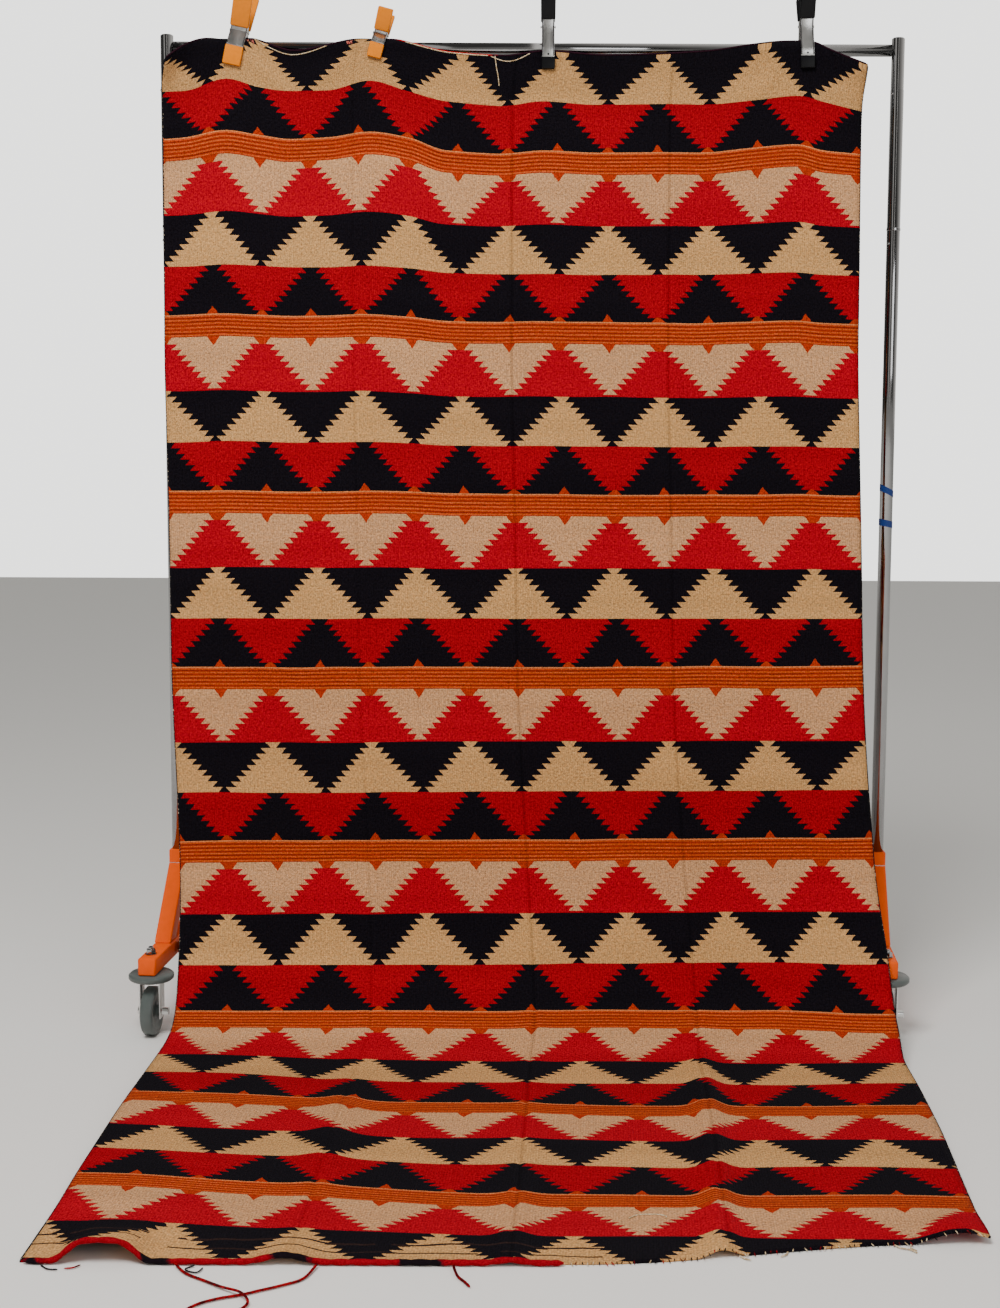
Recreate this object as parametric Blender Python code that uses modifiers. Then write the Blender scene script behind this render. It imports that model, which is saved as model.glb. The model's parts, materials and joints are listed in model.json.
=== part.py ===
# A woven rug hung from a rolling garment rack by four spring clamps, its lower end lying on the floor.
# Metres, +Z up. The front of the rack faces -Y, and "forward" below means -Y.
import bpy
import numpy as np
from math import radians
from mathutils import Vector

# Driving dimensions of the rug
WIDTH = 1.468
LENGTH = 3.035
THICK = 0.003
HALF = WIDTH / 2

# Driving dimensions of the rack
POST_X = 0.769
POST_R = 0.014
POST_TOP = 2.087
POST_SEAM = 1.980
RAIL_R = 0.0125
RAIL_Z = 2.061
SLEEVE_TOP = 0.349
FOOT_LOW = 0.134
FOOT_HIGH = 0.172
FOOT_REACH = 0.264
FOOT_TURN = 5.1
CASTER_OUT = 0.228
WHEEL_R = 0.051
WHEEL_W = 0.028
GAP = 0.0003

# Where the whole build sits, so that its box is centred over the origin
SHIFT_Y = 0.5261
WRAP_R = 0.0155

# Distance down the cloth from its top edge, and the lean from upright there in degrees
LEAN = [
    (0.00, 0.5), (0.15, 1.0), (0.40, 4.0), (0.80, 5.6), (1.25, 6.2), (1.50, 7.6), (1.68, 12.0),
    (1.80, 20.0), (1.90, 31.0), (1.98, 44.0), (2.06, 60.0), (2.14, 75.5), (2.22, 86.0),
    (2.30, 88.8), (2.50, 88.8), (2.62, 87.0), (2.76, 86.4), (2.86, 88.6), (2.93, 90.0), (3.20, 90.0),
]
# Distance down the cloth, left edge, right edge
EDGES = [
    (0.00, -0.764, 0.698), (0.11, -0.776, 0.691), (0.60, -0.774, 0.691), (0.97, -0.764, 0.698),
    (1.33, -0.755, 0.705), (1.70, -0.735, 0.726), (1.94, -0.725, 0.742), (2.06, -0.720, 0.741),
    (2.20, -0.734, 0.733), (2.30, -0.743, 0.732), (2.67, -0.762, 0.716), (3.04, -0.781, 0.693),
]
# Place along the rail, and how far the clamps lift the cloth there at its top edge, 0.11 m and 0.21 m down
LIFT = [
    (-0.78, -0.045, 0.016, 0.020), (-0.72, 0.008, 0.019, 0.025), (-0.63, 0.037, 0.046, 0.041),
    (-0.56, 0.012, 0.027, 0.031), (-0.50, -0.004, 0.019, 0.023), (-0.42, 0.010, 0.022, 0.027),
    (-0.33, 0.030, 0.045, 0.040), (-0.25, 0.011, 0.022, 0.028), (-0.17, -0.006, 0.001, 0.001),
    (-0.06, -0.012, -0.007, -0.005), (0.03, -0.002, 0.005, 0.004), (0.15, -0.010, -0.002, 0.000),
    (0.35, -0.002, -0.001, 0.000), (0.47, 0.014, 0.010, 0.012), (0.565, 0.026, 0.021, 0.020),
    (0.62, 0.004, 0.008, 0.008), (0.70, -0.034, -0.012, 0.001),
]
# Place along the rail of the four clamps
HELD = [-0.627, -0.329, 0.033, 0.575]


def smooth(x, table, column=1):
    """Values between the rows of a table, along a curve that never overshoots a row."""
    t = np.array([row[0] for row in table])
    y = np.array([row[column] for row in table])
    run = np.diff(t)
    slope = np.diff(y) / run
    m = np.zeros(len(t))
    m[0] = slope[0]
    m[-1] = slope[-1]
    for i in range(1, len(t) - 1):
        if slope[i - 1] * slope[i] > 0:
            before = 2 * run[i] + run[i - 1]
            after = run[i] + 2 * run[i - 1]
            m[i] = (before + after) / (before / slope[i - 1] + after / slope[i])
    i = np.clip(np.searchsorted(t, x) - 1, 0, len(t) - 2)
    s = np.clip((x - t[i]) / run[i], 0, 1)
    flat = y[i] * (1 + 2 * s) * (1 - s) ** 2 + y[i + 1] * s * s * (3 - 2 * s)
    return flat + run[i] * s * (1 - s) * (m[i] * (1 - s) - m[i + 1] * s)


def bell(x, middle, spread):
    return np.exp(-(((x - middle) / spread) ** 2))


def step(x, low, high):
    s = np.clip((x - low) / (high - low), 0, 1)
    return s * s * (3 - 2 * s)


STATIONS = np.linspace(0, 3.2, 1601)
LEANS = np.radians(smooth(STATIONS, LEAN))
PACE = STATIONS[1] - STATIONS[0]
OUT = WRAP_R + np.concatenate([[0], np.cumsum(np.sin((LEANS[1:] + LEANS[:-1]) / 2) * PACE)])
DOWN = np.concatenate([[0], np.cumsum(np.cos((LEANS[1:] + LEANS[:-1]) / 2) * PACE)])
UP = DOWN[-1] - DOWN
STRAIGHT = RAIL_Z - UP[0]


def path(s):
    """Forward and up at a distance down the cloth. Above the top it runs round the rail."""
    turn = np.clip((-s - STRAIGHT) / WRAP_R, 0, np.pi)
    forward = np.where(s < 0, WRAP_R * np.cos(turn), np.interp(s, STATIONS, OUT))
    over = UP[0] + np.clip(-s, 0, STRAIGHT) + WRAP_R * np.sin(turn)
    return forward, np.where(s < 0, over, np.interp(s, STATIONS, UP))


def end_cut(u):
    """How much shorter the cloth is at its end, which slants up on the right."""
    return 0.065 * step(u, 0.10, 0.62)


def lift_at(x, v):
    """How much higher up its path a point of the cloth is than plain hanging puts it."""
    top = smooth(x, LIFT, 1)
    upper = smooth(x, LIFT, 2)
    lower = smooth(x, LIFT, 3)
    first = np.clip(v / 0.106, 0, 1)
    second = np.clip((v - 0.106) / 0.105, 0, 1)
    fade = 0.35 + 0.65 * (1 - step(v, 0.211, 0.50))
    fade = fade * (1 - step(v, 0.40, 1.30))
    return (top + (upper - top) * first + (lower - upper) * second) * fade


def surface(u, v):
    """Underside of the cloth: x, forward and up, from metres across and down its length."""
    side = (u + HALF) / WIDTH
    x = smooth(v, EDGES, 1) * (1 - side) + smooth(v, EDGES, 2) * side
    at_rail = smooth(0 * v, EDGES, 1) * (1 - side) + smooth(0 * v, EDGES, 2) * side
    # On the floor the rows lie further back towards the left edge
    lag = 0.052 * step(-u, 0.10, HALF) * step(v, 2.10, 2.35) * (1 - step(v, 2.85, LENGTH))
    lag = lag + 0.010 * step(u, 0.30, HALF) * step(v, 2.10, 2.35)
    s = v - lift_at(at_rail, v) - lag
    forward, up = path(s)
    # Slack between two clamps stands a little forward, and so do both top corners
    for left, right in zip(HELD[:-1], HELD[1:]):
        span = np.clip((at_rail - left) / (right - left), 0, 1)
        forward = forward + 0.011 * np.sin(np.pi * span) ** 2 * step(v, 0, 0.12) * bell(v, 0.1, 0.3)
    forward = forward + 0.050 * bell(at_rail, -0.79, 0.055) * bell(v, 0, 0.085)
    forward = forward + 0.028 * bell(at_rail, 0.71, 0.05) * bell(v, 0, 0.08)
    # Creases left by folding it in four
    for middle in (-0.335, 0.0, 0.33):
        forward = forward + 0.0035 * bell(u, middle, 0.035) * step(v, 0.2, 0.5) * (1 - step(v, 1.9, 2.1))
    # The right edge is pushed forward past the foot behind it
    forward = forward + 0.022 * step(u, 0.45, HALF) * step(v, 1.72, 1.92) * (1 - step(v, 2.05, 2.25))
    # Ridges and a raised corner on the floor
    lying = step(v, 2.05, 2.30)
    up = up + 0.013 * bell(u, 0.335 - 0.02 * (v - 2.2), 0.026) * lying
    up = up + 0.009 * bell(u, 0.0, 0.030) * bell(v, 2.93, 0.16) * lying
    up = up + 0.012 * bell(u, -0.335, 0.040) * bell(v, 2.55, 0.20) * lying
    up = up + 0.012 * bell(u, -0.338, 0.040) * bell(v, LENGTH, 0.08)
    up = up + 0.034 * np.exp(-(((u + 0.612) / 0.056) ** 4)) * bell(v, LENGTH, 0.072)
    up = up + 0.020 * step(u, 0.60, 0.69) * step(v, 2.84, 2.96) * (1 - 0.45 * step(u, 0.70, HALF))
    up = np.maximum(up - 0.0012 * lying, 0)
    return x, forward, up


def clear_scene():
    for obj in list(bpy.data.objects):
        bpy.data.objects.remove(obj, do_unlink=True)
    for group in list(bpy.data.collections):
        bpy.data.collections.remove(group)


def material(name, colour, metallic, roughness):
    made = bpy.data.materials.new(name)
    made.use_nodes = True
    shader = made.node_tree.nodes["Principled BSDF"]
    shader.inputs["Base Color"].default_value = (*colour, 1)
    shader.inputs["Metallic"].default_value = metallic
    shader.inputs["Roughness"].default_value = roughness
    return made


clear_scene()
group = bpy.data.collections.new("hung_rug")
bpy.context.scene.collection.children.link(group)
origin = bpy.data.objects.new("hung_rug", None)
origin.location = (0, SHIFT_Y, 0)
group.objects.link(origin)

WOOL = material("wool", (0.55, 0.03, 0.02), 0, 0.9)
YARN = material("yarn", (0.50, 0.02, 0.02), 0, 0.9)
CHROME = material("chrome", (0.70, 0.70, 0.70), 1, 0.15)
ORANGE = material("powder_coat", (0.80, 0.13, 0.01), 0, 0.35)
GREY = material("wheel_rubber", (0.15, 0.17, 0.16), 0, 0.6)
STEEL = material("zinc_steel", (0.50, 0.50, 0.48), 1, 0.35)
GRIP = material("grip_vinyl", (0.78, 0.16, 0.01), 0, 0.4)
DARK = material("grip_rubber", (0.03, 0.03, 0.03), 0, 0.5)


def add(name, data, paint, location=(0, 0, 0), rotation=(0, 0, 0)):
    obj = bpy.data.objects.new(name, data)
    data.materials.append(paint)
    obj.location = location
    obj.rotation_euler = rotation
    obj.parent = origin
    group.objects.link(obj)
    return obj


def rod(name, start, end, radius, paint, sides=24):
    """A straight round bar between two points."""
    start = Vector(start)
    end = Vector(end)
    bpy.ops.mesh.primitive_cylinder_add(vertices=sides, radius=radius, depth=(end - start).length)
    made = bpy.context.active_object
    data = made.data
    bpy.data.objects.remove(made)
    obj = add(name, data, paint, (start + end) / 2)
    obj.rotation_euler = (end - start).to_track_quat("Z", "Y").to_euler()
    return obj


def block(name, size, paint, location, rotation=(0, 0, 0), edge=0.0):
    """A box with its edges cut back."""
    bpy.ops.mesh.primitive_cube_add(size=1)
    made = bpy.context.active_object
    data = made.data
    bpy.data.objects.remove(made)
    for vertex in data.vertices:
        vertex.co = [vertex.co[i] * size[i] for i in range(3)]
    obj = add(name, data, paint, location, rotation)
    if edge:
        soften(obj, edge)
    return obj


def soften(obj, width, segments=1):
    cut = obj.modifiers.new("Bevel", "BEVEL")
    cut.width = width
    cut.segments = segments
    cut.limit_method = "ANGLE"
    cut.angle_limit = radians(35)
    return cut


def plate(name, outline, depth, paint, location=(0, 0, 0), rotation=(0, 0, 0), edge=0.0):
    """A flat outline of forward and up, given its depth along X."""
    data = bpy.data.meshes.new(name)
    data.from_pydata([(0, -forward, up) for forward, up in outline], [], [range(len(outline))])
    obj = add(name, data, paint, location, rotation)
    solid = obj.modifiers.new("Solidify", "SOLIDIFY")
    solid.thickness = depth
    solid.offset = 0
    if edge:
        soften(obj, edge)
    return obj


def turned(name, profile, paint, location, rotation=(0, 0, 0), steps=24):
    """A profile of radius and height, from top to bottom, turned round the upright axis."""
    data = bpy.data.meshes.new(name)
    points = [(radius, 0, height) for radius, height in profile]
    data.from_pydata(points, [(i, i + 1) for i in range(len(points) - 1)], [])
    obj = add(name, data, paint, location, rotation)
    screw = obj.modifiers.new("Screw", "SCREW")
    screw.steps = steps
    screw.render_steps = steps
    screw.use_merge_vertices = True
    screw.merge_threshold = 0.00005
    return obj


def strip(line, thick):
    """The outline of a bent strip from its middle line."""
    points = [Vector(point) for point in line]
    left = []
    right = []
    for i, point in enumerate(points):
        before = points[max(i - 1, 0)]
        after = points[min(i + 1, len(points) - 1)]
        along = (after - before).normalized()
        across = Vector((-along.y, along.x)) * thick / 2
        left.append(tuple(point + across))
        right.append(tuple(point - across))
    return left + right[::-1]


def yarn(name, points, radius, paint, sides=2):
    """A round strand along a list of points of x, forward and up."""
    data = bpy.data.curves.new(name, "CURVE")
    data.dimensions = "3D"
    data.bevel_depth = radius
    data.bevel_resolution = sides
    data.use_fill_caps = True
    line = data.splines.new("POLY")
    line.points.add(len(points) - 1)
    for spot, (x, forward, up) in zip(line.points, points):
        spot.co = (x, -forward, up, 1)
    return add(name, data, paint)


# The cloth: one grid, closer where it bends, with its thickness added on the front and upper side
columns = np.concatenate([
    np.linspace(-HALF, -0.70, 3), np.linspace(-0.675, -0.525, 7), np.linspace(-0.49, -0.40, 3),
    np.linspace(-0.37, -0.23, 7), np.linspace(-0.19, -0.06, 3), np.linspace(-0.03, 0.03, 3),
    np.linspace(0.07, 0.27, 4), np.linspace(0.295, 0.365, 5), np.linspace(0.41, 0.66, 8),
    np.linspace(0.685, HALF, 3),
])
rows = np.concatenate([
    np.linspace(0, 0.048, 8), np.linspace(0.065, 0.211, 7), np.linspace(0.27, 1.55, 12),
    np.linspace(1.65, 2.30, 18), np.linspace(2.35, 2.80, 8), np.linspace(2.85, LENGTH, 6),
])
across, along = np.meshgrid(columns, rows)
along = along - end_cut(across) * step(along, 2.60, LENGTH)
x, forward, up = surface(across, along)
points = np.stack([x, -forward, up], axis=-1).reshape(-1, 3)
wide = len(columns)
faces = []
for i in range(len(rows) - 1):
    for j in range(wide - 1):
        corner = i * wide + j
        faces.append((corner, corner + wide, corner + wide + 1, corner + 1))
cloth = bpy.data.meshes.new("rug")
cloth.from_pydata(points.tolist(), [], faces)
rug = add("rug", cloth, WOOL)
shell = rug.modifiers.new("Solidify", "SOLIDIFY")
shell.thickness = THICK
shell.offset = 1
spot = surface(np.array([0.15]), np.array([2.95]))
print("flat spot", [round(float(value[0]), 4) for value in spot], "z exactly 0:", spot[2][0] == 0)
print("cloth grid", len(rows), "x", wide, "top", round(float(up.max()), 4), "straight", round(STRAIGHT, 4))

# The twined roll along the left half of the cloth's end
ROLL_R = 0.005
spots = np.linspace(-HALF + 0.006, 0.080, 48)
ends = LENGTH - end_cut(spots)
x, forward, up = surface(spots, ends)
route = list(zip(x, forward + ROLL_R + 0.0006, up + ROLL_R + GAP))
yarn("end_binding", route, ROLL_R, YARN)

# Free yarn ends in front of it: x, forward and up
TAIL_R = 0.00225
TAILS = {
    "tail_a": [
        (-0.5455, 1.3420, 0.0060), (-0.5250, 1.3600, 0.0030), (-0.4950, 1.3830, 0.0030),
        (-0.4640, 1.4080, 0.0045), (-0.4330, 1.4330, 0.0085), (-0.4190, 1.4560, 0.0050),
        (-0.4300, 1.4780, 0.0030), (-0.4600, 1.4930, 0.0030), (-0.4940, 1.5020, 0.0030),
    ],
    "tail_b": [
        (-0.3320, 1.3490, 0.0060), (-0.3480, 1.3760, 0.0030), (-0.3760, 1.3980, 0.0030),
        (-0.4080, 1.4160, 0.0030), (-0.4330, 1.4300, 0.0030), (-0.4640, 1.4420, 0.0030),
        (-0.4930, 1.4620, 0.0030), (-0.5140, 1.4960, 0.0030), (-0.5250, 1.5300, 0.0030),
    ],
    "tail_c": [
        (-0.1300, 1.3490, 0.0060), (-0.1220, 1.3650, 0.0030), (-0.1120, 1.3830, 0.0030),
        (-0.1030, 1.4010, 0.0030),
    ],
}


def eased(points, between):
    """A smooth line through the points, as a list of closer ones."""
    points = [Vector(point) for point in points]
    whole = [points[0] * 2 - points[1]] + points + [points[-1] * 2 - points[-2]]
    line = []
    for i in range(1, len(whole) - 2):
        before, here, there, after = whole[i - 1:i + 3]
        for k in range(between):
            s = k / between
            bend = (before - here * 3 + there * 3 - after) * -1 * s ** 3
            bend = bend + (before * 2 - here * 5 + there * 4 - after) * s * s
            line.append(here + (bend + (there - before) * s) / 2)
    return [tuple(point) for point in line] + [tuple(points[-1])]


for name, points in TAILS.items():
    root = points[0][0]
    heading = Vector(points[1]) - Vector(points[0])
    clear = 2 * ROLL_R + 0.0010 + TAIL_R * abs(heading.x) / heading.length
    points[0] = (root, float(np.interp(root, x, forward)) + clear, points[0][2])
    yarn(name, eased(points, 4), TAIL_R, YARN)

# The rail and the posts
rod("rail", (-POST_X + POST_R + GAP, 0, RAIL_Z), (POST_X - POST_R - GAP, 0, RAIL_Z), RAIL_R, CHROME)
NECK = 0.0005
POST = [
    (0, POST_TOP), (0.011, POST_TOP), (0.0135, POST_TOP - 0.002), (0.0135, POST_SEAM),
    (POST_R, POST_SEAM - NECK), (POST_R, SLEEVE_TOP + GAP), (0, SLEEVE_TOP + GAP),
]
# The end frame under each post, as an outline of forward and up
ARCH = [
    (0.0165, SLEEVE_TOP), (0.0165, 0.320), (0.1435, FOOT_HIGH + GAP), (0.0935, FOOT_HIGH + GAP),
    (0, 0.281), (-0.0935, FOOT_HIGH + GAP), (-0.1435, FOOT_HIGH + GAP), (-0.0165, 0.320),
    (-0.0165, SLEEVE_TOP),
]
turn = radians(FOOT_TURN)
DISC = [
    (0, FOOT_LOW - GAP), (0.043, FOOT_LOW - GAP), (0.047, FOOT_LOW - 0.004), (0.047, 0.1225),
    (0.043, 0.1185), (0, 0.1185),
]
# The fork's plate seen from in front, and the wheel's profile from one side to the other
FORK_TOP = 0.1182
FORK_OUT = 0.0225
PLATE = 0.003
WHEEL = [
    (0, 0.0192), (0.011, 0.0192), (0.014, 0.0105), (0.034, 0.0105), (0.037, 0.0130), (0.047, 0.0130),
    (0.051, 0.0095), (0.051, -0.0095), (0.047, -0.0130), (0.037, -0.0130), (0.034, -0.0105),
    (0.014, -0.0105), (0.011, -0.0192), (0, -0.0192),
]


def fork(name, location, rotation):
    """A bent plate over the wheel, with the ends of the axle bolt standing out of it."""
    inside = FORK_OUT - PLATE
    low = WHEEL_R - 0.013
    bend = [
        (-FORK_OUT, low), (-FORK_OUT, FORK_TOP), (FORK_OUT, FORK_TOP), (FORK_OUT, low),
        (inside, low), (inside, FORK_TOP - PLATE), (-inside, FORK_TOP - PLATE), (-inside, low),
    ]
    data = bpy.data.meshes.new(name)
    data.from_pydata([(across, 0, up) for across, up in bend], [], [range(len(bend))])
    obj = add(name, data, STEEL, location, rotation)
    solid = obj.modifiers.new("Solidify", "SOLIDIFY")
    solid.thickness = 0.034
    solid.offset = 0
    for side, stand in ((-1, 0.006), (1, 0.014)):
        start = side * (FORK_OUT - 0.0015)
        end = side * (FORK_OUT + stand)
        bpy.ops.mesh.primitive_cylinder_add(vertices=12, radius=0.008, depth=abs(end - start))
        bolt = bpy.context.active_object
        bolt.name = name + ("_nut" if side > 0 else "_head")
        for holder in list(bolt.users_collection):
            holder.objects.unlink(bolt)
        helpers.objects.link(bolt)
        bolt.rotation_euler = (0, radians(90), 0)
        bolt.location = ((start + end) / 2, 0, WHEEL_R)
        bolt.parent = obj
        bolt.hide_render = True
        bolt.display_type = "WIRE"
        joined = obj.modifiers.new("Boolean", "BOOLEAN")
        joined.operation = "UNION"
        joined.solver = "EXACT"
        joined.object = bolt
    return obj


helpers = bpy.data.collections.new("helpers")
bpy.context.scene.collection.children.link(helpers)

for side, hand in ((-1, "left"), (1, "right")):
    middle = side * POST_X
    turned(f"post_{hand}", POST, CHROME, (middle, 0, 0))
    facing = (0, 0, -turn)
    plate(f"arch_{hand}", ARCH, 0.035, ORANGE, (middle, 0, 0), facing, 0.002)
    height = (FOOT_LOW + FOOT_HIGH) / 2
    block(
        f"foot_{hand}", (0.038, 2 * FOOT_REACH, FOOT_HIGH - FOOT_LOW), ORANGE, (middle, 0, height),
        facing, 0.003,
    )
    for way, end in ((1, "front"), (-1, "back")):
        spot = (middle - way * CASTER_OUT * np.sin(turn), -way * CASTER_OUT * np.cos(turn), 0)
        turned(f"bumper_{hand}_{end}", DISC, GREY, spot)
        fork(f"fork_{hand}_{end}", spot, facing)
        axle = (spot[0], spot[1], WHEEL_R)
        turned(f"wheel_{hand}_{end}", WHEEL, GREY, axle, (0, radians(90), -turn), 32)
rod("base_bar", (-0.7557, -0.1, 0.153), (0.7557, 0.1, 0.153), RAIL_R, CHROME, 16)

# Spring clamps. Heights are from the middle of the rail, and tilt leans the top to the right.
CLAMPS = [
    # name, place, tilt, tip low, tip high, pivot, half gap there, grip low, grip high, width, paint, below
    ("clamp_1", -0.6230, 12, -0.040, -0.001, 0.034, 0.0105, 0.042, 0.115, 0.040, GRIP, False),
    ("clamp_2", -0.3266, 15, -0.024, 0.006, 0.030, 0.0078, 0.036, 0.079, 0.032, GRIP, False),
    ("clamp_3", 0.0325, 0, -0.045, -0.021, 0.045, 0.0105, 0.059, 0.113, 0.030, DARK, True),
    ("clamp_4", 0.5750, -1, -0.041, -0.016, 0.048, 0.0105, 0.063, 0.111, 0.032, DARK, True),
]
TIP = 0.009
TIP_BACK = 0.013
SHEET = 0.002
for name, place, tilt, low, high, pivot, nip, start, top, width, paint, below in CLAMPS:
    spot = (place, 0, RAIL_Z)
    lean = (0, radians(tilt), 0)
    front = [
        (0.0240, high + GAP), (0.0240, high + 0.003), (0.0160, 0.0215), (nip, pivot),
        (nip + 0.002, start - 0.0025), (nip + 0.002, start - GAP),
    ]
    if below:
        front = front[:1] + [(0.0240, 0.001)] + front[2:]
        back = [
            (0.0105, high + 0.0014), (-0.0135, -0.0140), (-0.0195, 0.0), (-0.0145, 0.0215),
            (-nip, pivot), (-nip - 0.002, start - 0.0025), (-nip - 0.002, start - GAP),
        ]
        behind = 0.0060
    else:
        back = [(-0.0225, high + GAP), (-0.0225, high + 0.003)]
        back = back + [(-forward, up) for forward, up in front[2:]]
        behind = -0.0132 - TIP_BACK
    plate(f"{name}_arm_front", strip(front, SHEET), width - 0.004, STEEL, spot, lean)
    plate(f"{name}_arm_back", strip(back, SHEET), width - 0.004, STEEL, spot, lean)
    for way, end in ((1, "front"), (-1, "back")):
        rise = top - start
        grip = [
            (way * (nip + 0.0025), start), (way * (nip + 0.0045 + 0.12 * rise), start + 0.35 * rise),
            (way * (nip + 0.0045 + 0.40 * rise), top),
        ]
        plate(f"{name}_grip_{end}", strip(grip, 0.008), width, paint, spot, lean, 0.0015)
    for end, near in (("front", 0.0196), ("back", behind)):
        far = near + (TIP_BACK if end == "back" and not below else TIP)
        corners = [(near, low), (far, low), (far, high), (near, high)]
        plate(f"{name}_tip_{end}", corners, width - 0.002, paint, spot, lean, 0.0012)
    reach = width / 2 - 0.003
    coil = rod(f"{name}_coil", (-reach, 0, 0), (reach, 0, 0), nip - 0.0014, STEEL, 12)
    turnover = Vector((np.sin(radians(tilt)), 0, np.cos(radians(tilt))))
    coil.location = Vector(spot) + turnover * pivot
    coil.rotation_euler = (0, radians(90 + tilt), 0)
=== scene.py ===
# %% [markdown]
# # A woven rug on a rolling rack
# This lesson dresses a finished CAD model: a long rug with rows of toothed pyramids, held by four
# spring clamps on the rail of a garment rack, with its lower end lying on the floor.
# The model comes in first. Everything below is in metres in the model's own frame.

# %% Load the model
import json
from math import cos, pi, radians, sin
import bpy
import numpy as np
from mathutils import Matrix, Vector


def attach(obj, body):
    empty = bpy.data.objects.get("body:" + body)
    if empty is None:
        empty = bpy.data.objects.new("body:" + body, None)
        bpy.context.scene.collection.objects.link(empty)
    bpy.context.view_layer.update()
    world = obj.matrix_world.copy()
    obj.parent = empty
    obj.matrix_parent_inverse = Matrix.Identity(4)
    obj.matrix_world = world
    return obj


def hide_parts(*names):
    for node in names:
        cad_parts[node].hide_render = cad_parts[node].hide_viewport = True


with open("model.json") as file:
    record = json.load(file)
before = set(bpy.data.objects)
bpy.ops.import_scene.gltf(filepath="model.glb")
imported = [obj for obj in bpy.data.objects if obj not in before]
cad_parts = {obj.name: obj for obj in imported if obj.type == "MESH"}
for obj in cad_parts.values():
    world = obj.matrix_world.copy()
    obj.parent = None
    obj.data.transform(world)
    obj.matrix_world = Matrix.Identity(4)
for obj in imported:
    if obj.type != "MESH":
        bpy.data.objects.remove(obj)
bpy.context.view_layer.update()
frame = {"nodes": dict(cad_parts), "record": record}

nodes = frame["nodes"]


def add(name, data):
    """A new object in the scene."""
    made = bpy.data.objects.new(name, data)
    bpy.context.scene.collection.objects.link(made)
    return made


# %% [markdown]
# ## Camera
# A picture of a long hanging thing is taken from its middle height, a little tilted down. The
# camera could be aimed with a tracking constraint, but a fixed matrix also holds the quarter of a
# degree that the picture is rolled by. Its place was worked out from the posts and the casters.

# %% Camera
# The rail's place from front to back. What is called forward is measured from it.
FRONT = 0.5261
CAMERA_AT = (-0.063, FRONT - 3.942, 1.202)
TILTED_DOWN = 6.09
ROLLED = 0.25

camera_data = bpy.data.cameras.new("camera")
camera_data.sensor_width = 36
camera_data.lens = 50.1
camera = add("camera", camera_data)
pitch = Matrix.Rotation(radians(90 - TILTED_DOWN), 4, "X")
roll = Matrix.Rotation(radians(ROLLED), 4, "Z")
camera.matrix_world = Matrix.Translation(CAMERA_AT) @ pitch @ roll
bpy.context.scene.camera = camera
print("camera at", tuple(round(value, 3) for value in camera.matrix_world.translation))

# %% [markdown]
# ## Floor and light
# A plain pale floor and a pale sky make a studio. Two large soft lamps in front give the
# cloth its gentle shading. Chrome shows what is around it, so the sky that shiny parts reflect is a
# studio of its own: bright behind the rack, dark in front, with a few bright strips.

# %% Colours
def srgb(code):
    """A hex colour such as C8141A as linear red, green, blue and alpha."""
    parts = [int(code[i:i + 2], 16) / 255 for i in (0, 2, 4)]
    linear = [c / 12.92 if c <= 0.04045 else ((c + 0.055) / 1.055) ** 2.4 for c in parts]
    return (*linear, 1)


print("mid grey is", round(srgb("808080")[0], 3))

# %% One function that adds a shader node
def fill(node, given):
    """Fills or links a node's inputs, by number or name."""
    for key, value in given.items() if isinstance(given, dict) else enumerate(given):
        socket = node.inputs[key]
        if isinstance(value, bpy.types.NodeSocket):
            node.id_data.links.new(value, socket)
        else:
            socket.default_value = value


def put(tree, kind, given=(), out=0, **settings):
    """Adds one node, such as Bump or Math.ADD, with its inputs and settings. Returns one output."""
    kind, *operation = kind.split(".")
    made = tree.nodes.new("ShaderNode" + kind)
    if operation:
        made.operation = operation[0]
    for name, value in settings.items():
        setattr(made, name, value)
    fill(made, given)
    return made.outputs[out]


def apart(tree, a, b):
    """How far two values are from each other."""
    off = put(tree, "Math.SUBTRACT", [a, b])
    return put(tree, "Math.ABSOLUTE", [off])


# What a Mix node needs to blend colours: inputs 6 and 7, output 2
RGBA = {"out": 2, "data_type": "RGBA"}


def new_material(name):
    """An empty node material, its tree and its Principled shader."""
    made = bpy.data.materials.new(name)
    made.use_nodes = True
    tree = made.node_tree
    return made, tree, tree.nodes["Principled BSDF"]


# %% Floor
floor_material, tree, shader = new_material("studio_floor")
fill(shader, {"Base Color": srgb("E9E6E1"), "Roughness": 0.7})
# Half a millimetre low, so that it shares no plane with the cloth
bpy.ops.mesh.primitive_plane_add(size=30, location=(0, 0, -0.0005))
floor = bpy.context.active_object
floor.name = "floor"
floor.data.materials.append(floor_material)

# %% Sky
world = bpy.data.worlds.new("studio")
bpy.context.scene.world = world
world.use_nodes = True
sky = world.node_tree
daylight = sky.nodes["Background"]
fill(daylight, {"Color": srgb("F4F4F2"), "Strength": 0.55})
backdrop = put(sky, "Background", {"Color": srgb("F4F4F2"), "Strength": 2.5})
# What shiny parts reflect: x to the right, y to the back, z up. The left is in shade.
sight = put(sky, "TexCoord")
right = put(sky, "SeparateXYZ", [sight])
behind = right.node.outputs[1]
above = right.node.outputs[2]
back = put(sky, "MapRange", [behind, -0.8, 0.4, 0, 1.1])
aside = put(sky, "MapRange", [right, 0.04, 0.35, 0.04, 1])
glow = put(sky, "Math.MULTIPLY", [back, aside])
ceiling = put(sky, "MapRange", [above, 0.35, 0.9, 0.05, 0.1])
glow = put(sky, "Math.MAXIMUM", [glow, ceiling])
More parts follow.
